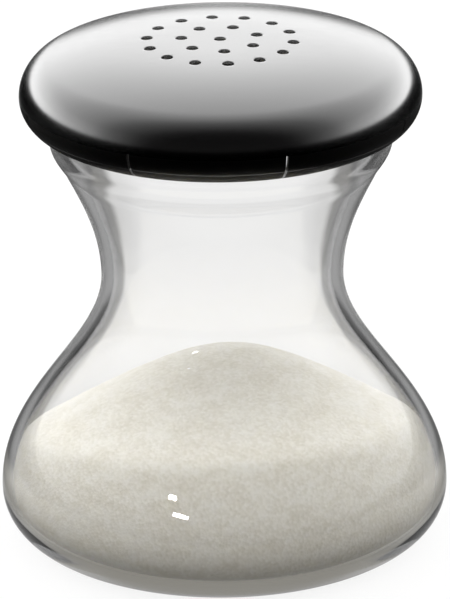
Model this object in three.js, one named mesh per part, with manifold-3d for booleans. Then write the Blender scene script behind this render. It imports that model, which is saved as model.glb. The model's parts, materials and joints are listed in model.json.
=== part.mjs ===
// Table salt shaker: a waisted jar of clear pressed glass, a domed steel lid pushed onto its collar, and salt.
// Millimetres, +Z up. The foot stands on z = 0, Z is the axis, and the front is -Y.
import * as THREE from "three";
import { mergeVertices, toCreasedNormals } from "three/addons/utils/BufferGeometryUtils.js";
import Module from "manifold-3d";

// Outside of the jar: the rings that its outline passes through, from the foot up.
const footRadius = 21.0;
const bellyRadius = 26.4;
const bellyHeight = 5.2;
const waistRadius = 14.15;
const waistHeight = 31.5;
const flareRadius = 18.45;
const flareHeight = 45.3;
const collarRadius = 19.85;
const collarHeight = 48.3;
const mouthHeight = 57.32;

// How far each curve of the jar keeps the direction that it starts or ends with, as shares of its own run.
const heelShares = [0.64, 0.54];
const bodyShares = [0.39, 0.35];
const neckShares = [0.39, 0.29];
const collarShares = [0.4, 0.33];
const flareLean = 0.51;
const collarLean = 0.7;

// Glass thickness at each level, and the hollow under the foot that leaves a ring to stand on.
const floorThickness = 1.2;
const bellyWall = 1.2;
const waistWall = 1.4;
const mouthWall = 2.0;
const hollowRadius = 17.2;
const hollowDepth = 0.8;

// Steel lid. Its crown falls as a power of the radius, then the sheet bends down at the rim and curls under.
// The rim reaches out past the collar, and the lip of the curl keeps clear of it.
const sheetThickness = 0.6;
const rimReach = 3.35;
const shoulderRadius = 4.65;
const curlRadius = 3.55;
const crownSlope = THREE.MathUtils.degToRad(17.9);
const crownPower = 3.13;
const seatClearance = 0.3;
const gripClearance = 0.3;

// Pour holes in the crown, one in the middle and two rings, turned a little from the front.
const holeRadius = 0.68;
const innerRingRadius = 4.46;
const innerRingCount = 7;
const outerRingRadius = 8.45;
const outerRingCount = 14;
const holeTurn = THREE.MathUtils.degToRad(6.1);

// Slits that part the curled rim into spring fingers.
const slitCount = 8;
const slitWidth = 0.3;
const slitReach = 0.1;
const slitTurn = THREE.MathUtils.degToRad(18.5);

// Salt: the peak of its heap, a rounded cone that is a little off the axis and leans down towards the back,
// and the gap that its loose grains keep to the glass.
const heapPeak = 21.9;
const heapAcross = 0.9;
const heapBehind = 1.0;
const heapRounding = 7;
const heapFallShare = 0.57;
const heapLeanShare = -0.12;
const saltGap = 0.3;

// Fineness of the surfaces, the weld that closes them, and how far a cutter runs past what it cuts.
const latheSides = 56;
const saltSides = 40;
const holeSides = 12;
const weld = 0.001;
const overrun = 1;
const creaseAngle = THREE.MathUtils.degToRad(35);

const wasm = await Module();
wasm.setup();

// A profile is a list of points with x as radius and y as height.
function point(radius, height) {
  return new THREE.Vector2(radius, height);
}

function curve(start, startHandle, endHandle, end, steps) {
  return new THREE.CubicBezierCurve(start, startHandle, endHandle, end).getPoints(steps);
}

function arc(centre, radius, from, to, steps) {
  const along = Array.from({ length: steps + 1 }, (_, i) => from + ((to - from) * i) / steps);
  return along.map((angle) => point(centre.x + radius * Math.cos(angle), centre.y + radius * Math.sin(angle)));
}

// Joins stretches into one profile, without the points that two stretches share.
function chain(...stretches) {
  return stretches.flat().filter((p, i, all) => i === 0 || p.distanceTo(all[i - 1]) > weld);
}

// Moves a profile to the left of the way it runs, by a distance worked out at each point.
// A point on the axis stays on the axis.
function offset(profile, distanceAt) {
  return profile.map((p, i) => {
    const before = profile[Math.max(i - 1, 0)];
    const after = profile[Math.min(i + 1, profile.length - 1)];
    const way = after.clone().sub(before).normalize();
    const distance = distanceAt(p);
    return p.x < weld
      ? point(0, p.y + distance * Math.sign(way.x))
      : point(p.x - distance * way.y, p.y + distance * way.x);
  });
}

// Turns a profile about the Z axis. It runs upwards on the outside of the solid.
function turned(profile, segments) {
  return new THREE.LatheGeometry(profile, segments).rotateX(Math.PI / 2);
}

function toSolid(geometry) {
  const bare = new THREE.BufferGeometry().setAttribute("position", geometry.getAttribute("position"));
  const merged = mergeVertices(bare.setIndex(geometry.getIndex()), weld);
  const triVerts = new Uint32Array(merged.getIndex().array);
  const vertProperties = merged.getAttribute("position").array;
  return new wasm.Manifold(new wasm.Mesh({ numProp: 3, vertProperties, triVerts }));
}

function toGeometry(solid) {
  const mesh = solid.getMesh();
  const geometry = new THREE.BufferGeometry();
  geometry.setAttribute("position", new THREE.BufferAttribute(mesh.vertProperties, mesh.numProp));
  geometry.setIndex(new THREE.BufferAttribute(mesh.triVerts, 1));
  return toCreasedNormals(geometry, creaseAngle);
}

// The rounded heel between the foot or the floor and the belly.
function heelCurve(heel, belly) {
  const out = point(heel.x + heelShares[0] * (belly.x - heel.x), heel.y);
  const under = point(belly.x, belly.y - heelShares[1] * (belly.y - heel.y));
  return curve(heel, out, under, belly, 5);
}

// The outside from the belly in to the waist.
function bodyCurve() {
  const rise = waistHeight - bellyHeight;
  const over = point(bellyRadius, bellyHeight + bodyShares[0] * rise);
  const under = point(waistRadius, waistHeight - bodyShares[1] * rise);
  return curve(point(bellyRadius, bellyHeight), over, under, point(waistRadius, waistHeight), 10);
}

// The outside from the waist out to the crease under the collar.
function neckCurve() {
  const rise = flareHeight - waistHeight;
  const lead = neckShares[1] * rise;
  const over = point(waistRadius, waistHeight + neckShares[0] * rise);
  const under = point(flareRadius - lead * flareLean, flareHeight - lead);
  return curve(point(waistRadius, waistHeight), over, under, point(flareRadius, flareHeight), 6);
}

// The swell from the crease, or from the inside of the neck, to where the collar stands upright.
function collarCurve(start, lean, end) {
  const rise = end.y - start.y;
  const lead = collarShares[0] * rise;
  const over = point(start.x + lead * lean, start.y + lead);
  const under = point(end.x, end.y - collarShares[1] * rise);
  return curve(start, over, under, end, 4);
}

function outerWall() {
  const heel = heelCurve(point(footRadius, 0), point(bellyRadius, bellyHeight));
  const collar = collarCurve(point(flareRadius, flareHeight), collarLean, point(collarRadius, collarHeight));
  return chain(heel, bodyCurve(), neckCurve(), collar);
}

// Glass thickness of the wall at a point of its outside, from the belly up to the crease.
function wallAt(outer) {
  const up = THREE.MathUtils.clamp((outer.y - bellyHeight) / (waistHeight - bellyHeight), 0, 1);
  return THREE.MathUtils.lerp(bellyWall, waistWall, up);
}

// The hollow under the foot, or the floor of the jar that swells over it.
function hollowCurve(level) {
  const top = level + hollowDepth;
  const shoulder = hollowRadius - hollowDepth;
  return curve(point(0, top), point(hollowRadius / 2, top), point(shoulder, top), point(hollowRadius, level), 3);
}

// The inside of the jar, from the middle of its floor up to the crease, and on up to the mouth.
function innerBody() {
  const wall = offset(chain(bodyCurve(), neckCurve()), wallAt);
  const heel = heelCurve(point(footRadius - bellyWall, floorThickness), wall[0]);
  return chain(hollowCurve(floorThickness), heel, wall);
}

function innerWall() {
  const body = innerBody();
  const collar = point(collarRadius - mouthWall, collarHeight + mouthWall);
  return chain(body, collarCurve(body.at(-1), flareLean, collar));
}

// The rounded lip of the mouth, from its outside over to its inside.
function mouthLip() {
  const radius = mouthWall / 2;
  return arc(point(collarRadius - radius, mouthHeight - radius), radius, 0, Math.PI, 6);
}

function makeGlassBody() {
  return turned(chain(hollowCurve(0), outerWall(), mouthLip(), innerWall().reverse()), latheSides);
}

// Outside of the lid's sheet from the curled lip up to the crown's middle, with the crown's top at height 0.
const gripRadius = collarRadius + gripClearance;
const lidRadius = collarRadius + rimReach;
const shoulderCentre = lidRadius - shoulderRadius;
const curlCentre = lidRadius - curlRadius;
const crownRadius = shoulderCentre + shoulderRadius * Math.sin(crownSlope);
const crownFall = (crownRadius * Math.tan(crownSlope)) / crownPower;
const rimHeight = -crownFall - shoulderRadius * Math.cos(crownSlope);

function crownCurve() {
  const steps = 6;
  const radii = Array.from({ length: steps }, (_, i) => (crownRadius * (steps - 1 - i)) / steps);
  return radii.map((r) => point(r, -crownFall * (r / crownRadius) ** crownPower));
}

function lidOutside() {
  const curlShare = (gripRadius - curlCentre) / (curlRadius - sheetThickness);
  const lipAngle = Math.acos(THREE.MathUtils.clamp(curlShare, -1, 1));
  const curl = arc(point(curlCentre, rimHeight), curlRadius, -lipAngle, 0, 5);
  const toCrown = Math.PI / 2 - crownSlope;
  const shoulder = arc(point(shoulderCentre, rimHeight), shoulderRadius, 0, toCrown, 5);
  return chain(curl, shoulder, crownCurve());
}

// Height of a profile at a radius, on the stretch that runs in towards the axis from the rim.
function heightAt(profile, radius) {
  const end = profile.findLastIndex((p) => p.x >= radius);
  const share = (profile[end].x - radius) / (profile[end].x - profile[end + 1].x);
  return profile[end].y + share * (profile[end + 1].y - profile[end].y);
}

// How far the lid is raised for the mouth of the jar to meet the underside of the crown, less the clearance.
function lidSeat(underside) {
  return seatClearance + Math.max(...mouthLip().map((p) => p.y - heightAt(underside, p.x)));
}

function placedAt(geometry, radius, azimuth) {
  return geometry.translate(0, -radius, 0).rotateZ(azimuth);
}

function pourHole(radius, azimuth) {
  const depth = crownFall + sheetThickness + 2 * overrun;
  const drill = new THREE.CylinderGeometry(holeRadius, holeRadius, depth, holeSides).rotateX(Math.PI / 2);
  return placedAt(drill, radius, azimuth);
}

function slit(azimuth) {
  const deep = curlRadius + slitReach + overrun;
  const wide = lidRadius - gripRadius + 2 * overrun;
  const blade = new THREE.BoxGeometry(slitWidth, wide, deep).translate(0, 0, rimHeight + slitReach - deep / 2);
  return placedAt(blade, gripRadius - overrun + wide / 2, azimuth);
}

// Azimuths of evenly spaced copies, counted from the front towards +X.
function around(count, first) {
  return Array.from({ length: count }, (_, i) => first + (2 * Math.PI * i) / count);
}

function makeSteelLid() {
  const outside = lidOutside();
  const underside = offset(outside, () => sheetThickness);
  const sheet = toSolid(turned(chain(outside, [...underside].reverse(), [outside[0]]), latheSides));
  const cutters = [
    pourHole(0, 0),
    ...around(innerRingCount, holeTurn).map((azimuth) => pourHole(innerRingRadius, azimuth)),
    ...around(outerRingCount, holeTurn).map((azimuth) => pourHole(outerRingRadius, azimuth)),
    ...around(slitCount, slitTurn).map((azimuth) => slit(azimuth)),
  ];
  const cut = cutters.reduce((solid, cutter) => solid.subtract(toSolid(cutter)), sheet);
  return toGeometry(cut).translate(0, 0, lidSeat(underside));
}

// The salt lies against the inside of the jar, under the heap that it fell into.
function makeSaltFill() {
  const skin = offset(innerBody(), () => saltGap);
  const jarful = toSolid(turned(chain(skin, [point(0, skin.at(-1).y)]), saltSides));
  const reach = 2 * bellyRadius;
  const steps = 8;
  const slope = Array.from({ length: steps + 1 }, (_, i) => {
    const radius = reach * (1 - i / steps) ** 2;
    return point(radius, heapFallShare * (heapRounding - Math.hypot(radius, heapRounding)));
  });
  const under = -heapPeak - reach;
  const cone = turned(chain([point(0, under), point(reach, under)], slope), saltSides);
  const leaning = cone.applyMatrix4(new THREE.Matrix4().makeShear(0, 0, 0, heapLeanShare, 0, 0));
  return toGeometry(jarful.intersect(toSolid(leaning.translate(heapAcross, heapBehind, heapPeak))));
}

function named(name, geometry, look) {
  const mesh = new THREE.Mesh(geometry, new THREE.MeshStandardMaterial(look));
  mesh.name = name;
  return mesh;
}

const group = new THREE.Group();
const clearGlass = { color: 0xf3f6f4, roughness: 0.03, metalness: 0, transparent: true, opacity: 0.35 };
const brushedSteel = { color: 0xc9c9c8, roughness: 0.28, metalness: 1 };
const tableSalt = { color: 0xf2efe7, roughness: 0.95, metalness: 0 };
group.add(named("salt_fill", makeSaltFill(), tableSalt));
group.add(named("glass_body", makeGlassBody(), clearGlass));
group.add(named("steel_lid", makeSteelLid(), brushedSteel));

export default group;
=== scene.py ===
import json
from math import acos, cos, hypot, pi, radians, sin, tan

import bpy
from mathutils import Matrix, Vector

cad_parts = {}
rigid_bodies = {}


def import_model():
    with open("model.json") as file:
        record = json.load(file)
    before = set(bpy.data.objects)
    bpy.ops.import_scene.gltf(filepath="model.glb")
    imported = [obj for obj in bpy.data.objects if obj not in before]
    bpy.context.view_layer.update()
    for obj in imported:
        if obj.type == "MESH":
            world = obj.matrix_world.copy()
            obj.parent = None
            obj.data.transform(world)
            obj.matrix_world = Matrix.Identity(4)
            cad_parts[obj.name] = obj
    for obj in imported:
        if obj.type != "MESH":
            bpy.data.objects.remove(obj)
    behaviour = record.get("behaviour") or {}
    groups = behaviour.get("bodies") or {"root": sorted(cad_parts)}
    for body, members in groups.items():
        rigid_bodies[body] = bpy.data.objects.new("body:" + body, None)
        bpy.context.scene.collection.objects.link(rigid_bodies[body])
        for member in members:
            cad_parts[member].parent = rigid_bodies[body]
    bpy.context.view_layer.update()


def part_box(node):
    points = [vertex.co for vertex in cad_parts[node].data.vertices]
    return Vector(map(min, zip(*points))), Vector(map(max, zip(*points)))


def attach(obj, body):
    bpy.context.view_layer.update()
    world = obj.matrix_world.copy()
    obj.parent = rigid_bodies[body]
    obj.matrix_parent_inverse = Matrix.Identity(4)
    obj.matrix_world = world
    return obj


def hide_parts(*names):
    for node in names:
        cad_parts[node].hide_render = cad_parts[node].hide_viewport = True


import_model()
mm = 0.001
weldDistance = 0.000001

# in millimetres: points of an outline that count as one, and that count as on the axis
samePoint = 0.002
onAxis = 0.001


def selectOnly(*pieces):
    for other in bpy.context.scene.objects:
        other.select_set(False)
    for piece in pieces:
        piece.select_set(True)
    bpy.context.view_layer.objects.active = pieces[0] if pieces else None


def bezier(start, startHandle, endHandle, end, steps):
    line = []
    for i in range(steps + 1):
        t = i / steps
        near, early, late, far = (1 - t) ** 3, 3 * t * (1 - t) ** 2, 3 * t * t * (1 - t), t**3
        line.append(tuple(
            near * a + early * b + late * c + far * d
            for a, b, c, d in zip(start, startHandle, endHandle, end)
        ))
    return line


def arc(centre, radius, fromAngle, toAngle, steps):
    angles = [fromAngle + (toAngle - fromAngle) * i / steps for i in range(steps + 1)]
    return [(centre[0] + radius * cos(a), centre[1] + radius * sin(a)) for a in angles]


def straight(start, end, steps):
    return [
        (start[0] + (end[0] - start[0]) * i / steps, start[1] + (end[1] - start[1]) * i / steps)
        for i in range(steps + 1)
    ]


def joinLines(*lines):
    joined = []
    for p in (p for line in lines for p in line):
        if not joined or hypot(p[0] - joined[-1][0], p[1] - joined[-1][1]) > samePoint:
            joined.append(p)
    return joined


def offsetLine(line, distanceAt):
    # moves an outline to the left of the way it runs, like a wall's other side
    moved = []
    for i, p in enumerate(line):
        before, after = line[max(i - 1, 0)], line[min(i + 1, len(line) - 1)]
        run, rise = after[0] - before[0], after[1] - before[1]
        length = hypot(run, rise)
        distance = distanceAt(p)
        if p[0] < onAxis:
            moved.append((0, p[1] + (distance if run > 0 else -distance)))
        else:
            moved.append((p[0] - distance * rise / length, p[1] + distance * run / length))
    return moved


def turnPiece(name, outline, sides):
    # one vertex, pulled along the outline and spun about the axis
    selectOnly()
    bpy.ops.mesh.primitive_plane_add(size=mm, enter_editmode=True, location=(0, 0, 0))
    piece = bpy.context.active_object
    piece.name = piece.data.name = name
    bpy.ops.mesh.select_all(action="SELECT")
    bpy.ops.mesh.merge(type="CENTER")
    bpy.ops.transform.translate(value=(outline[0][0] * mm, 0, outline[0][1] * mm))
    for before, after in zip(outline, outline[1:]):
        step = ((after[0] - before[0]) * mm, 0, (after[1] - before[1]) * mm)
        bpy.ops.mesh.extrude_region_move(TRANSFORM_OT_translate={"value": step})
    bpy.ops.mesh.select_all(action="SELECT")
    bpy.ops.mesh.spin(steps=sides, angle=2 * pi, center=(0, 0, 0), axis=(0, 0, 1))
    bpy.ops.mesh.select_all(action="SELECT")
    bpy.ops.mesh.remove_doubles(threshold=weldDistance)
    bpy.ops.mesh.normals_make_consistent(inside=False)
    bpy.ops.object.mode_set(mode="OBJECT")
    return piece


def applyModifier(piece, kind, **settings):
    selectOnly(piece)
    modifier = piece.modifiers.new(kind.title(), kind)
    for key, value in settings.items():
        setattr(modifier, key, value)
    bpy.ops.object.modifier_apply(modifier=modifier.name)


def smoothByAngle(piece, angle):
    selectOnly(piece)
    bpy.ops.object.shade_smooth_by_angle(angle=radians(angle))


def placeMesh(piece, place):
    # puts the place in the mesh, and leaves the object at the origin
    piece.data.transform(place)
    piece.matrix_world = Matrix.Identity(4)


def triangleCount(piece):
    return sum(len(face.vertices) - 2 for face in piece.data.polygons)


# Jar of clear pressed glass, in millimetres and degrees like every other piece here. Shares are of the height
# or the width that a curve crosses.
jar = {
    "footRadius": 21.0, "bellyRadius": 26.399, "bellyHeight": 5.2,
    "waistRadius": 14.15, "waistHeight": 31.5, "flareRadius": 18.45, "flareHeight": 45.3,
    "collarRadius": 19.85, "collarHeight": 48.3, "mouthHeight": 57.32,
    "heelShares": (0.64, 0.54), "bodyShares": (0.39, 0.35), "neckShares": (0.39, 0.29),
    "collarShares": (0.4, 0.33), "flareLean": 0.51, "collarLean": 0.7,
    "floorThickness": 1.2, "bellyWall": 1.2, "waistWall": 1.4, "mouthWall": 2.0,
    "hollowRadius": 17.2, "hollowDepth": 0.8,
    "heelSteps": 14, "bodySteps": 38, "neckSteps": 20, "collarSteps": 10, "wallSteps": 4, "mouthSteps": 10,
    "hollowSteps": 10, "sides": 240, "smoothAngle": 40,
}


def heelLine(heel, belly):
    out = (heel[0] + jar["heelShares"][0] * (belly[0] - heel[0]), heel[1])
    under = (belly[0], belly[1] - jar["heelShares"][1] * (belly[1] - heel[1]))
    return bezier(heel, out, under, belly, jar["heelSteps"])


def bodyLine():
    belly = (jar["bellyRadius"], jar["bellyHeight"])
    waist = (jar["waistRadius"], jar["waistHeight"])
    rise = waist[1] - belly[1]
    over = (belly[0], belly[1] + jar["bodyShares"][0] * rise)
    under = (waist[0], waist[1] - jar["bodyShares"][1] * rise)
    return bezier(belly, over, under, waist, jar["bodySteps"])


def neckLine():
    waist = (jar["waistRadius"], jar["waistHeight"])
    flare = (jar["flareRadius"], jar["flareHeight"])
    rise = flare[1] - waist[1]
    lead = jar["neckShares"][1] * rise
    over = (waist[0], waist[1] + jar["neckShares"][0] * rise)
    under = (flare[0] - lead * jar["flareLean"], flare[1] - lead)
    return bezier(waist, over, under, flare, jar["neckSteps"])


def collarLine(start, lean, end):
    rise = end[1] - start[1]
    lead = jar["collarShares"][0] * rise
    over = (start[0] + lead * lean, start[1] + lead)
    under = (end[0], end[1] - jar["collarShares"][1] * rise)
    return bezier(start, over, under, end, jar["collarSteps"])


def wallAt(p):
    up = (p[1] - jar["bellyHeight"]) / (jar["waistHeight"] - jar["bellyHeight"])
    return jar["bellyWall"] + (jar["waistWall"] - jar["bellyWall"]) * min(max(up, 0), 1)


def hollowLine(level):
    # the hollow under the foot, or the floor that swells over it
    deep, wide = jar["hollowDepth"], jar["hollowRadius"]
    top = level + deep
    return bezier((0, top), (wide / 2, top), (wide - deep, top), (wide, level), jar["hollowSteps"])


def innerBodyLine():
    wall = offsetLine(joinLines(bodyLine(), neckLine()), wallAt)
    corner = (jar["footRadius"] - jar["bellyWall"], jar["floorThickness"])
    return joinLines(hollowLine(jar["floorThickness"]), heelLine(corner, wall[0]), wall)


def makeJar():
    flare = (jar["flareRadius"], jar["flareHeight"])
    collar = (jar["collarRadius"], jar["collarHeight"])
    lip = jar["mouthWall"] / 2
    lipHeight = jar["mouthHeight"] - lip
    outside = joinLines(
        heelLine((jar["footRadius"], 0), (jar["bellyRadius"], jar["bellyHeight"])),
        bodyLine(),
        neckLine(),
        collarLine(flare, jar["collarLean"], collar),
        straight(collar, (collar[0], lipHeight), jar["wallSteps"]),
    )
    inner = innerBodyLine()
    innerCollar = (collar[0] - jar["mouthWall"], collar[1] + jar["mouthWall"])
    inside = joinLines(
        inner,
        collarLine(inner[-1], jar["flareLean"], innerCollar),
        straight(innerCollar, (innerCollar[0], lipHeight), jar["wallSteps"]),
    )
    mouth = arc((collar[0] - lip, lipHeight), lip, 0, pi, jar["mouthSteps"])
    piece = turnPiece("jar_glass", joinLines(hollowLine(0), outside, mouth, inside[::-1]), jar["sides"])
    smoothByAngle(piece, jar["smoothAngle"])
    return piece


jarPiece = makeJar()
print("jar turned:", triangleCount(jarPiece), "triangles")


# Pressed steel lid, with pour holes and a curled rim that is slit into spring fingers.
lid = {
    "sheet": 0.6, "rimReach": 3.35, "shoulderRadius": 4.65, "curlRadius": 3.55,
    "crownSlope": 17.9, "crownPower": 3.13, "gripClearance": 0.3,
    "holeRadius": 0.68, "holeRounding": 0.09, "holeSides": 28,
    "innerRing": (4.46, 7), "outerRing": (8.45, 14), "holeTurn": 6.1,
    "slitCount": 8, "slitWidth": 0.3, "slitReach": 0.1, "slitTurn": 18.5,
    "roundSteps": 18, "crownSteps": 44, "beadSteps": 6, "holeRoundSteps": 4, "cutMargin": 1.0,
    "sides": 256, "smoothAngle": 32,
}
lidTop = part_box("steel_lid")[1].z / mm
gripRadius = jar["collarRadius"] + lid["gripClearance"]
lidRadius = jar["collarRadius"] + lid["rimReach"]
shoulderCentre = lidRadius - lid["shoulderRadius"]
curlCentre = lidRadius - lid["curlRadius"]
crownSlope = radians(lid["crownSlope"])
crownRadius = shoulderCentre + lid["shoulderRadius"] * sin(crownSlope)
crownFall = crownRadius * tan(crownSlope) / lid["crownPower"]
rimHeight = lidTop - crownFall - lid["shoulderRadius"] * cos(crownSlope)


def crownHeight(radius):
    return lidTop - crownFall * (radius / crownRadius) ** lid["crownPower"]


def lidLine():
    share = (gripRadius - curlCentre) / (lid["curlRadius"] - lid["sheet"])
    lipAngle = acos(min(max(share, -1), 1))
    rings = lid["crownSteps"]
    crown = [crownRadius * (rings - 1 - i) / rings for i in range(rings)]
    return joinLines(
        arc((curlCentre, rimHeight), lid["curlRadius"], -lipAngle, 0, lid["roundSteps"]),
        arc((shoulderCentre, rimHeight), lid["shoulderRadius"], 0, pi / 2 - crownSlope, lid["roundSteps"]),
        [(r, crownHeight(r)) for r in crown],
    )


def makeHoleCutter(radius, azimuth):
    # a drill that widens at the crown, so that the hole's edge comes out rounded as on a tumbled pressing
    bore, soft = lid["holeRadius"], lid["holeRounding"]
    top = crownHeight(radius)
    deep, over = top - lid["sheet"] - lid["cutMargin"], top + lid["cutMargin"]
    outline = joinLines(
        [(0, deep), (bore, deep)],
        arc((bore + soft, top - soft), soft, pi, pi / 2, lid["holeRoundSteps"]),
        [(bore + soft, over), (0, over)],
    )
    drill = turnPiece("hole_cutter", outline, lid["holeSides"])
    power = lid["crownPower"]
    slope = crownFall * power * radius ** (power - 1) / crownRadius ** power
    tilt = Matrix.Rotation(slope, 4, "X")
    onTop = Matrix.Translation((0, 0, top * mm))
    placeMesh(drill, Matrix.Rotation(azimuth, 4, "Z") @ Matrix.Translation((0, -radius * mm, 0))
              @ onTop @ tilt @ onTop.inverted())
    return drill


def makeSlitCutter(azimuth):
    selectOnly()
    bpy.ops.mesh.primitive_cube_add(size=1)
    blade = bpy.context.active_object
    deep = lid["curlRadius"] + lid["slitReach"] + lid["cutMargin"]
    wide = lidRadius - gripRadius + 2 * lid["cutMargin"]
    blade.data.transform(Matrix.Diagonal((lid["slitWidth"] * mm, wide * mm, deep * mm, 1)))
    out = gripRadius - lid["cutMargin"] + wide / 2
    up = rimHeight + lid["slitReach"] - deep / 2
    placeMesh(blade, Matrix.Rotation(azimuth, 4, "Z") @ Matrix.Translation((0, -out * mm, up * mm)))
    return blade


def makeLid():
    outside = lidLine()
    underside = offsetLine(outside, lambda p: lid["sheet"])
    # the sheet ends in a round bead at the lip
    lipCentre = tuple((a + b) / 2 for a, b in zip(outside[0], underside[0]))
    start, bead = (outside[0][0] - lipCentre[0], outside[0][1] - lipCentre[1]), []
    for i in range(1, lid["beadSteps"]):
        turn = -pi * i / lid["beadSteps"]
        bead.append((
            lipCentre[0] + start[0] * cos(turn) - start[1] * sin(turn),
            lipCentre[1] + start[0] * sin(turn) + start[1] * cos(turn),
        ))
    outline = joinLines(underside[::-1], bead[::-1], outside)
    piece = turnPiece("lid_steel", outline, lid["sides"])
    cutters = [makeHoleCutter(0, 0)]
    for radius, count in (lid["innerRing"], lid["outerRing"]):
        for i in range(count):
            cutters.append(makeHoleCutter(radius, radians(lid["holeTurn"]) + 2 * pi * i / count))
    for i in range(lid["slitCount"]):
        cutters.append(makeSlitCutter(radians(lid["slitTurn"]) + 2 * pi * i / lid["slitCount"]))
    selectOnly(*cutters)
    bpy.ops.object.join()
    tools = bpy.context.active_object
    applyModifier(piece, "BOOLEAN", operation="DIFFERENCE", solver="EXACT", object=tools)
    bpy.data.objects.remove(tools)
    smoothByAngle(piece, lid["smoothAngle"])
    return piece


lidPiece = makeLid()
print("lid pressed, pierced and slit:", triangleCount(lidPiece), "triangles")


# Salt, poured into a rounded heap that leans down towards the back, up against the glass all round.
salt = {
    "gap": 0.12, "skinTop": 26.0, "skinSides": 128,
    "peak": (0.9, 1.0, 21.9), "fallShare": 0.57, "rounding": 7.0, "leanAngle": 6.84,
    "reach": 52.0, "slopeSteps": 14,
    "cell": 0.3, "slump": 0.5, "slumpSteps": 120, "grain": 0.32, "grainHeight": 0.09, "smoothAngle": 60,
}


def makeHeap():
    # a turned cone with a rounded top, tilted a little: all that lies under the heap's surface
    reach, rounding = salt["reach"], salt["rounding"]
    slope = []
    for i in range(salt["slopeSteps"] + 1):
        radius = reach * (1 - i / salt["slopeSteps"]) ** 2
        slope.append((radius, salt["fallShare"] * (rounding - hypot(radius, rounding))))
    bottom = -2 * reach
    heap = turnPiece("heap", joinLines([(0, bottom), (reach, bottom)], slope), salt["skinSides"])
    peak = Vector(salt["peak"]) * mm
    placeMesh(heap, Matrix.Translation(peak) @ Matrix.Rotation(radians(-salt["leanAngle"]), 4, "X"))
    return heap


def makeSalt():
    skin = offsetLine(innerBodyLine(), lambda p: salt["gap"])
    skin = [p for p in skin if p[1] < salt["skinTop"]]
    body = turnPiece("salt_grains", skin + [(0, skin[-1][1])], salt["skinSides"])
    heap = makeHeap()
    applyModifier(body, "BOOLEAN", operation="INTERSECT", solver="EXACT", object=heap)
    bpy.data.objects.remove(heap)
    applyModifier(body, "REMESH", mode="VOXEL", voxel_size=salt["cell"] * mm)
    # loose grains slump at the edge of the heap
    applyModifier(body, "SMOOTH", factor=salt["slump"], iterations=salt["slumpSteps"])
    grains = bpy.data.textures.new("saltGrains", "VORONOI")
    grains.noise_scale = salt["grain"] * mm
    applyModifier(
        body, "DISPLACE", texture=grains, texture_coords="LOCAL",
        strength=salt["grainHeight"] * mm, mid_level=1.0,
    )
    smoothByAngle(body, salt["smoothAngle"])
    return body


saltPiece = makeSalt()
print("salt heaped:", triangleCount(saltPiece), "triangles")


def toLinear(hexColour):
    channels = [int(hexColour[i:i + 2], 16) / 255 for i in (1, 3, 5)]
    linear = [c / 12.92 if c <= 0.04045 else ((c + 0.055) / 1.055) ** 2.4 for c in channels]
    return (*linear, 1)


def newMaterial(name):
    material = bpy.data.materials.new(name)
    material.use_nodes = True
    material.node_tree.nodes.clear()
    return material


def addNode(tree, kind, settings=None, links=None):
    # settings: a property's name, or an input's name or number; links: input -> (node, output)
    node = tree.nodes.new(kind)
    for key, value in (settings or {}).items():
        if isinstance(key, str) and hasattr(node, key):
            setattr(node, key, value)
        else:
            node.inputs[key].default_value = value
    for key, (other, output) in (links or {}).items():
        tree.links.new(other.outputs[output], node.inputs[key])
    return node


def giveMaterial(piece, material):
    piece.data.materials.clear()
    piece.data.materials.append(material)


# Soda-lime glass, pressed in a mould: clear and all but colourless, with a slow ripple that bends the lines
# seen through it.
glassLook = {"tint": "#fdfdfd", "ior": 1.5, "rippleSize": 7.0, "rippleHeight": 0.02}


def makeGlassMaterial():
    material = newMaterial("sodaLimePressedGlass")
    tree = material.node_tree
    place = addNode(tree, "ShaderNodeTexCoord")
    ripple = addNode(tree, "ShaderNodeTexNoise",
                     {"Scale": 1 / (glassLook["rippleSize"] * mm), "Detail": 1.0},
                     {"Vector": (place, "Object")})
    bump = addNode(tree, "ShaderNodeBump",
                   {"Strength": 1.0, "Distance": glassLook["rippleHeight"] * mm},
                   {"Height": (ripple, 0)})
    glass = addNode(tree, "ShaderNodeBsdfPrincipled", {
        "Base Color": toLinear(glassLook["tint"]), "IOR": glassLook["ior"],
        "Roughness": 0.0, "Transmission Weight": 1.0,
    }, {"Normal": (bump, 0)})
    # the light that falls on the salt and the table goes straight through
    clear = addNode(tree, "ShaderNodeBsdfTransparent", {"Color": toLinear(glassLook["tint"])})
    ray = addNode(tree, "ShaderNodeLightPath")
    through = addNode(tree, "ShaderNodeMath", {"operation": "MAXIMUM"},
                      {0: (ray, "Is Shadow Ray"), 1: (ray, "Is Diffuse Ray")})
    mix = addNode(tree, "ShaderNodeMixShader", None, {0: (through, 0), 1: (glass, 0), 2: (clear, 0)})
    addNode(tree, "ShaderNodeOutputMaterial", None, {"Surface": (mix, 0)})
    return material


# Stainless steel, satin-brushed straight across: soft grey reflections, drawn out across the strokes. The
# inside of the cap and the underside of its rim are dull, with painted shade: their colour is darker, so that
# the pour holes look black. The strokes are drawn some three times as wide as real ones, so that they show.
steelLook = {
    "colour": "#d8d8d8", "roughness": 0.2, "roughnessChange": 0.03, "anisotropy": 0.45, "mapSize": 60.0,
    "strokeWidth": 0.16, "strokeLength": 24.0, "strokeHeight": 0.0008, "strokeTones": (0.3, 0.7),
    "insideShadeColour": "#4f4e4d", "insideRoughness": 0.5, "insideFrom": 51.6, "undersideBelow": -0.55,
}


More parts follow.
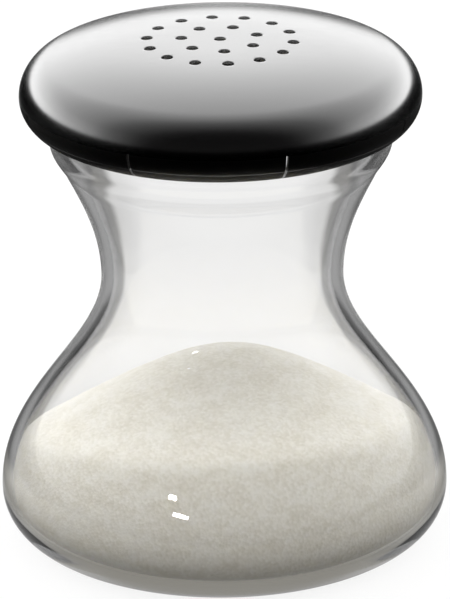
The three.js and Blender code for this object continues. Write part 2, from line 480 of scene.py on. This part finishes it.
def makeSteelMaterial():
    material = newMaterial("satinBrushedStainlessSteel")
    tree = material.node_tree
    place = addNode(tree, "ShaderNodeTexCoord")
    fine = 1 / (steelLook["strokeWidth"] * mm)
    long = 1 / (steelLook["strokeLength"] * mm)
    stretched = addNode(tree, "ShaderNodeMapping", {"Scale": (long, fine, fine)},
                        {"Vector": (place, "Object")})
    strokes = addNode(tree, "ShaderNodeTexNoise", {"Scale": 1.0, "Detail": 3.0}, {"Vector": (stretched, 0)})
    middle, change = steelLook["roughness"], steelLook["roughnessChange"]
    low, high = steelLook["strokeTones"]
    rough = addNode(tree, "ShaderNodeMapRange",
                    {"From Min": low, "From Max": high, "To Min": middle - change, "To Max": middle + change},
                    {"Value": (strokes, 0)})
    bump = addNode(tree, "ShaderNodeBump", {"Strength": 1.0, "Distance": steelLook["strokeHeight"] * mm},
                   {"Height": (strokes, 0)})
    tangent = addNode(tree, "ShaderNodeTangent", {"direction_type": "UV_MAP", "uv_map": "acrossBrushing"})
    # painted shade goes on the inside, what faces down above the rim's middle, and on the underside, what faces
    # steeply down anywhere
    facing = addNode(tree, "ShaderNodeSeparateXYZ", None, {0: (place, "Normal")})
    height = addNode(tree, "ShaderNodeSeparateXYZ", None, {0: (place, "Object")})
    under = addNode(tree, "ShaderNodeMath", {"operation": "LESS_THAN", 1: 0.0}, {0: (facing, "Z")})
    above = addNode(tree, "ShaderNodeMath", {"operation": "GREATER_THAN", 1: steelLook["insideFrom"] * mm},
                    {0: (height, "Z")})
    inner = addNode(tree, "ShaderNodeMath", {"operation": "MULTIPLY"}, {0: (under, 0), 1: (above, 0)})
    below = addNode(tree, "ShaderNodeMath", {"operation": "LESS_THAN", 1: steelLook["undersideBelow"]},
                    {0: (facing, "Z")})
    inside = addNode(tree, "ShaderNodeMath", {"operation": "MAXIMUM"}, {0: (inner, 0), 1: (below, 0)})
    # painted shade: the inside and the underside take the darker colour
    colour = addNode(tree, "ShaderNodeMixRGB", {
        1: toLinear(steelLook["colour"]), 2: toLinear(steelLook["insideShadeColour"]),
    }, {0: (inside, 0)})
    finish = addNode(tree, "ShaderNodeMapRange", {"To Max": steelLook["insideRoughness"]},
                     {"Value": (inside, 0), "To Min": (rough, 0)})
    steel = addNode(tree, "ShaderNodeBsdfPrincipled", {
        "Metallic": 1.0, "Anisotropic": steelLook["anisotropy"],
    }, {"Base Color": (colour, 0), "Roughness": (finish, 0), "Normal": (bump, 0), "Tangent": (tangent, 0)})
    addNode(tree, "ShaderNodeOutputMaterial", None, {"Surface": (steel, 0)})
    return material


def mapAcrossBrushing(piece):
    # u runs from front to back, across the strokes, which is the way that brushed steel smears a highlight
    size = steelLook["mapSize"] * mm
    layer = piece.data.uv_layers.new(name="acrossBrushing")
    for loop in piece.data.loops:
        x, y, z = piece.data.vertices[loop.vertex_index].co
        layer.data[loop.index].uv = ((y - z) / size + 0.5, x / size + 0.5)


# Evaporated table salt: cubes of about a third of a millimetre, off-white, dull, and letting light in a little
# way. Each grain has its own tone, and flat layers of the fill are a little paler or darker.
saltLook = {
    "pale": "#f8f4ea", "dark": "#e5e0d1", "paleFrom": 0.95, "darkUpTo": 0.35,
    "grain": 0.3, "grainShare": 0.45, "grainBump": 0.35, "grainRelief": 0.12,
    "patch": 4.0, "layering": 2.5, "roughness": 0.7,
    "letIn": 0.8, "depth": 2.4, "depthByColour": (1.0, 1.0, 0.9),
}


def makeSaltMaterial():
    material = newMaterial("evaporatedTableSalt")
    tree = material.node_tree
    place = addNode(tree, "ShaderNodeTexCoord")
    cells = addNode(tree, "ShaderNodeTexVoronoi", {"Scale": 1 / (saltLook["grain"] * mm)},
                    {"Vector": (place, "Object")})
    layers = addNode(tree, "ShaderNodeMapping", {"Scale": (1, 1, saltLook["layering"])},
                     {"Vector": (place, "Object")})
    patches = addNode(tree, "ShaderNodeTexNoise", {"Scale": 1 / (saltLook["patch"] * mm), "Detail": 6.0},
                      {"Vector": (layers, 0)})
    tone = addNode(tree, "ShaderNodeSeparateColor", None, {0: (cells, "Color")})
    both = addNode(tree, "ShaderNodeMath", {"operation": "MULTIPLY_ADD", 1: saltLook["grainShare"]},
                   {0: (tone, 0), 2: (patches, 0)})
    colours = addNode(tree, "ShaderNodeValToRGB", None, {0: (both, 0)})
    dark, pale = colours.color_ramp.elements
    dark.position, dark.color = saltLook["darkUpTo"], toLinear(saltLook["dark"])
    pale.position, pale.color = saltLook["paleFrom"], toLinear(saltLook["pale"])
    bump = addNode(tree, "ShaderNodeBump",
                   {"Strength": saltLook["grainBump"], "Distance": saltLook["grainRelief"] * mm},
                   {"Height": (cells, "Distance")})
    grains = addNode(tree, "ShaderNodeBsdfPrincipled", {
        "Roughness": saltLook["roughness"], "Subsurface Weight": saltLook["letIn"],
        "Subsurface Radius": saltLook["depthByColour"], "Subsurface Scale": saltLook["depth"] * mm,
    }, {"Base Color": (colours, 0), "Normal": (bump, 0)})
    addNode(tree, "ShaderNodeOutputMaterial", None, {"Surface": (grains, 0)})
    return material


mapAcrossBrushing(lidPiece)
giveMaterial(jarPiece, makeGlassMaterial())
giveMaterial(lidPiece, makeSteelMaterial())
giveMaterial(saltPiece, makeSaltMaterial())
print("materials given")

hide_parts("glass_body")
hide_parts("steel_lid")
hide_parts("salt_fill")
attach(jarPiece, "jar")
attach(lidPiece, "lid")
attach(saltPiece, "jar")


def levelAlong(tree, source, stops, blend="EASE"):
    # a level that follows stops of (value, level), smoothly
    low, high = stops[0][0], stops[-1][0]
    along = addNode(tree, "ShaderNodeMapRange", {"From Min": low, "From Max": high}, {"Value": source})
    ramp = addNode(tree, "ShaderNodeValToRGB", None, {0: (along, 0)})
    ramp.color_ramp.interpolation = blend
    while len(ramp.color_ramp.elements) < len(stops):
        ramp.color_ramp.elements.new(0.5)
    for element, (value, level) in zip(ramp.color_ramp.elements, stops):
        element.position = (value - low) / (high - low)
        element.color = (level, level, level, 1)
    return ramp


# White table. In the steel and the glass it shows as a white strip behind the shaker with dark felt beside it,
# which gives the glass its dark edges, and steel sees a dark front too. Here in metres, as pairs of a distance
# and a level: across is from the shaker's middle to either side, behind and inFront run to the back, and around
# and beneath go out from the foot.
stage = {
    "floorColour": "#f4f4f3", "nearColour": "#f4f0e4", "floorRadius": 3.0, "floorSides": 96,
    "floorRoughness": 0.6, "whiteShare": 0.85, "saltBack": 0.5, "saltFront": 0.2,
    "across": ((0.0, 1.0), (0.014, 1.0), (0.026, 0.86), (0.031, 0.28), (0.037, 0.22), (0.045, 0.42),
               (0.06, 0.4), (0.1, 0.14), (0.2, 0.05)),
    "behind": ((-0.021, 0.0), (0.0, 0.3), (0.021, 0.8), (0.06, 0.97), (0.105, 0.97), (0.13, 0.92),
               (0.26, 0.88), (0.4, 0.5)),
    # around: the table close round the foot, dimmed there as a painted shadow of the shaker where glass shows
    # it
    "around": ((0.0, 0.26), (0.03, 0.28), (0.042, 0.46), (0.08, 0.85), (0.3, 0.9)),
    "inFront": ((0.012, 1.0), (0.03, 0.0)),
    "beneath": ((0.0, 0.4), (0.03, 0.34), (0.036, 0.0)),
}


def makeFloor():
    selectOnly()
    bpy.ops.mesh.primitive_circle_add(
        vertices=stage["floorSides"], radius=stage["floorRadius"], fill_type="NGON",
    )
    floor = bpy.context.active_object
    floor.name = "floor"
    material = newMaterial("whiteTableLaminate")
    tree = material.node_tree
    matt = addNode(tree, "ShaderNodeBsdfPrincipled",
                   {"Base Color": toLinear(stage["floorColour"]), "Roughness": stage["floorRoughness"]})
    white = addNode(tree, "ShaderNodeEmission")
    ray = addNode(tree, "ShaderNodeLightPath")
    share = addNode(tree, "ShaderNodeMath", {"operation": "MULTIPLY", 1: stage["whiteShare"]},
                    {0: (ray, "Is Camera Ray")})
    table = addNode(tree, "ShaderNodeMixShader", None, {0: (share, 0), 1: (matt, 0), 2: (white, 0)})
    place = addNode(tree, "ShaderNodeTexCoord")
    axes = addNode(tree, "ShaderNodeSeparateXYZ", None, {0: (place, "Object")})
    side = addNode(tree, "ShaderNodeMath", {"operation": "ABSOLUTE"}, {0: (axes, "X")})
    across = levelAlong(tree, (side, 0), stage["across"])
    behind = levelAlong(tree, (axes, "Y"), stage["behind"])
    # a ray through glass counts as glossy too: these are the ones that steel or the belly's outside mirrors
    mirrored = addNode(tree, "ShaderNodeMath", {"operation": "SUBTRACT"},
                       {0: (ray, "Is Glossy Ray"), 1: (ray, "Is Transmission Ray")})
    # such a ray sees the felt darker than it shows through glass
    power = addNode(tree, "ShaderNodeMath", {"operation": "ADD", 1: 1.0}, {0: (mirrored, 0)})
    faded = addNode(tree, "ShaderNodeMath", {"operation": "POWER"}, {0: (across, 0), 1: (power, 0)})
    strips = addNode(tree, "ShaderNodeMath", {"operation": "MULTIPLY"}, {0: (faded, 0), 1: (behind, 0)})
    # the belly mirrors the table close beneath it
    reach = addNode(tree, "ShaderNodeVectorMath", {"operation": "LENGTH"}, {0: (place, "Object")})
    beneath = levelAlong(tree, (reach, "Value"), stage["beneath"])
    level = addNode(tree, "ShaderNodeMath", {"operation": "MULTIPLY_ADD"},
                    {0: (beneath, 0), 1: (mirrored, 0), 2: (strips, 0)})
    # glass also shows the white table before and beside the jar, dimmed close round it by a painted shadow of
    # the shaker
    around = levelAlong(tree, (reach, "Value"), stage["around"])
    inFront = levelAlong(tree, (axes, "Y"), stage["inFront"])
    near = addNode(tree, "ShaderNodeMath", {"operation": "MULTIPLY"}, {0: (around, 0), 1: (inFront, 0)})
    lit = addNode(tree, "ShaderNodeMath", {"operation": "MULTIPLY"},
                  {0: (near, 0), 1: (ray, "Is Transmission Ray")})
    warm = addNode(tree, "ShaderNodeEmission", {"Color": toLinear(stage["nearColour"])},
                   {"Strength": (lit, 0)})
    # on the salt the table throws a plain soft light, mostly from behind
    fore = addNode(tree, "ShaderNodeMath", {"operation": "MULTIPLY", 1: stage["saltFront"]},
                   {0: (inFront, 0)})
    soft = addNode(tree, "ShaderNodeMath", {"operation": "MULTIPLY_ADD", 1: stage["saltBack"]},
                   {0: (behind, 0), 2: (fore, 0)})
    glow = addNode(tree, "ShaderNodeMix", None, {0: (ray, "Is Diffuse Ray"), 2: (level, 0), 3: (soft, 0)})
    strip = addNode(tree, "ShaderNodeEmission", None, {"Strength": (glow, 0)})
    both = addNode(tree, "ShaderNodeAddShader", None, {0: (strip, 0), 1: (warm, 0)})
    mix = addNode(tree, "ShaderNodeMixShader", None, {0: (ray, "Is Camera Ray"), 1: (both, 0), 2: (table, 0)})
    addNode(tree, "ShaderNodeOutputMaterial", None, {"Surface": (mix, 0)})
    giveMaterial(floor, material)


# The studio, as pairs of how far a direction points along an axis and a level. Steel and glass mirror a bright
# panel behind, which wraps round the sides, brightest low down, with a dark gap at its foot and a dark room on
# the camera's side. Through the glass the room is white. What lights the salt is a plain soft sky, but for a
# dark low front.
studio = {
    "wrap": 0.42,
    "panel": ((-0.6, 0.003), (-0.35, 0.02), (0.0, 0.11), (0.17, 0.2), (0.54, 0.4), (0.7, 0.51), (0.88, 0.82),
              (1.0, 1.0)),
    "rise": ((0.06, 0.0), (0.1, 1.6), (0.2, 1.45), (0.36, 1.2), (0.55, 1.0), (1.0, 1.0)),
    "through": ((0.0, 0.3), (0.09, 0.3), (0.2, 0.85), (1.0, 0.9)),
    "sky": ((-1.0, 0.0), (-0.93, 0.05), (-0.75, 0.3), (-0.3, 0.85), (0.2, 1.05), (0.5, 1.15), (1.0, 1.0)),
    "skyRise": ((0.0, 0.2), (0.35, 0.45), (0.6, 1.95), (1.0, 2.6)),
    "skySide": ((-1.0, 1.08), (1.0, 0.86)),
}


def makeWorld():
    world = bpy.data.worlds.new("studio")
    bpy.context.scene.world = world
    world.use_nodes = True
    world.cycles.sampling_method = "NONE"
    tree = world.node_tree
    tree.nodes.clear()
    place = addNode(tree, "ShaderNodeTexCoord")
    axes = addNode(tree, "ShaderNodeSeparateXYZ", None, {0: (place, "Generated")})
    # how far to the back a direction counts, with the sides brought nearer to it
    square = addNode(tree, "ShaderNodeMath", {"operation": "POWER", 1: 2.0}, {0: (axes, "X")})
    along = addNode(tree, "ShaderNodeMath", {"operation": "MULTIPLY_ADD", 1: studio["wrap"]},
                    {0: (square, 0), 2: (axes, "Y")})
    panel = levelAlong(tree, (along, 0), studio["panel"], "B_SPLINE")
    rise = levelAlong(tree, (axes, "Z"), studio["rise"])
    shine = addNode(tree, "ShaderNodeMath", {"operation": "MULTIPLY"}, {0: (panel, 0), 1: (rise, 0)})
    fromFront = levelAlong(tree, (axes, "Y"), studio["sky"])
    upwards = levelAlong(tree, (axes, "Z"), studio["skyRise"])
    sideways = levelAlong(tree, (axes, "X"), studio["skySide"])
    level = addNode(tree, "ShaderNodeMath", {"operation": "MULTIPLY"}, {0: (fromFront, 0), 1: (upwards, 0)})
    sky = addNode(tree, "ShaderNodeMath", {"operation": "MULTIPLY"}, {0: (level, 0), 1: (sideways, 0)})
    through = levelAlong(tree, (axes, "Z"), studio["through"])
    ray = addNode(tree, "ShaderNodeLightPath")
    # what is mirrored or seen through glass meets the studio, and all that only lights a surface the soft sky
    sharp = addNode(tree, "ShaderNodeMath", {"operation": "MAXIMUM"},
                    {0: (ray, "Is Glossy Ray"), 1: (ray, "Is Transmission Ray")})
    shown = addNode(tree, "ShaderNodeMix", None,
                    {0: (ray, "Is Transmission Ray"), 2: (shine, 0), 3: (through, 0)})
    soft = addNode(tree, "ShaderNodeBackground", None, {"Strength": (sky, 0)})
    room = addNode(tree, "ShaderNodeBackground", None, {"Strength": (shown, 0)})
    for light in (soft, room):
        light.inputs["Color"].default_value = (1, 1, 1, 1)
    white = addNode(tree, "ShaderNodeBackground", {"Color": (1, 1, 1, 1)})
    lit = addNode(tree, "ShaderNodeMixShader", None, {0: (sharp, 0), 1: (soft, 0), 2: (room, 0)})
    whole = addNode(tree, "ShaderNodeMixShader", None,
                    {0: (ray, "Is Camera Ray"), 1: (lit, 0), 2: (white, 0)})
    addNode(tree, "ShaderNodeOutputWorld", None, {"Surface": (whole, 0)})


# Two soft lamps at the back, and two small ones before the jar that its belly mirrors as two glints. These
# shine in a narrow cone, so that the neck hardly mirrors them.
lamps = {
    "backLeft": {"place": (-450, 500, 300), "aim": (0, 0, 20), "size": (400, 400), "watts": 0.5,
                 "spread": 180, "turn": 0, "mirrored": False},
    "backRight": {"place": (450, 500, 300), "aim": (0, 0, 20), "size": (400, 400), "watts": 0.5,
                  "spread": 180, "turn": 0, "mirrored": False},
    "glintHigh": {"place": (-112.4, -206.4, 145.8), "aim": (-5.9, -23.4, 13), "size": (17, 10),
                  "watts": 0.0003, "spread": 5.2, "turn": 0, "mirrored": True},
    "glintLow": {"place": (-79, -193.5, 86.8), "aim": (-5.2, -23.6, 11.3), "size": (29, 8),
                 "watts": 0.0008, "spread": 9.8, "turn": -12, "mirrored": True},
}


def makeLamps():
    glassOnly = bpy.data.collections.new("glassOnly")
    glassOnly.objects.link(jarPiece)
    for name, lamp in lamps.items():
        light = bpy.data.lights.new(name, "AREA")
        light.shape = "RECTANGLE" if lamp["mirrored"] else "DISK"
        light.size, light.size_y = [side * mm for side in lamp["size"]]
        light.energy = lamp["watts"]
        holder = bpy.data.objects.new(name, light)
        bpy.context.scene.collection.objects.link(holder)
        holder.location = Vector(lamp["place"]) * mm
        light.spread = radians(lamp["spread"])
        aim = (Vector(lamp["aim"]) * mm - holder.location).to_track_quat("-Z", "Y").to_matrix()
        holder.rotation_euler = (aim @ Matrix.Rotation(radians(lamp["turn"]), 3, "Z")).to_euler()
        holder.visible_glossy = lamp["mirrored"]
        holder.visible_transmission = False
        holder.visible_camera = False
        if lamp["mirrored"]:
            holder.light_linking.receiver_collection = glassOnly


# The camera stands where the photograph's did: far off with a long lens, a little above and a little rolled.
view = {
    "target": (0.27, 0.0, 27.86), "distance": 520.0, "elevation": 21.8, "roll": 0.58,
    "focalPixels": 4440.0, "framePixels": 599.0, "sensor": 36.0, "nearest": 0.01, "farthest": 20.0,
}


def makeCamera():
    data = bpy.data.cameras.new("camera")
    camera = bpy.data.objects.new("camera", data)
    bpy.context.scene.collection.objects.link(camera)
    data.sensor_width = view["sensor"]
    data.lens = view["sensor"] * view["focalPixels"] / view["framePixels"]
    data.clip_start, data.clip_end = view["nearest"], view["farthest"]
    up = radians(view["elevation"])
    back = Vector((0, -cos(up), sin(up)))
    upright = (-back).to_track_quat("-Z", "Y").to_matrix().to_4x4()
    turn = upright @ Matrix.Rotation(radians(-view["roll"]), 4, "Z")
    place = Vector(view["target"]) * mm + back * view["distance"] * mm
    camera.matrix_world = Matrix.Translation(place) @ turn
    bpy.context.scene.camera = camera


makeFloor()
makeWorld()
makeLamps()
makeCamera()
bpy.context.scene.view_settings.view_transform = "Standard"
print("stage, lamps and camera set")
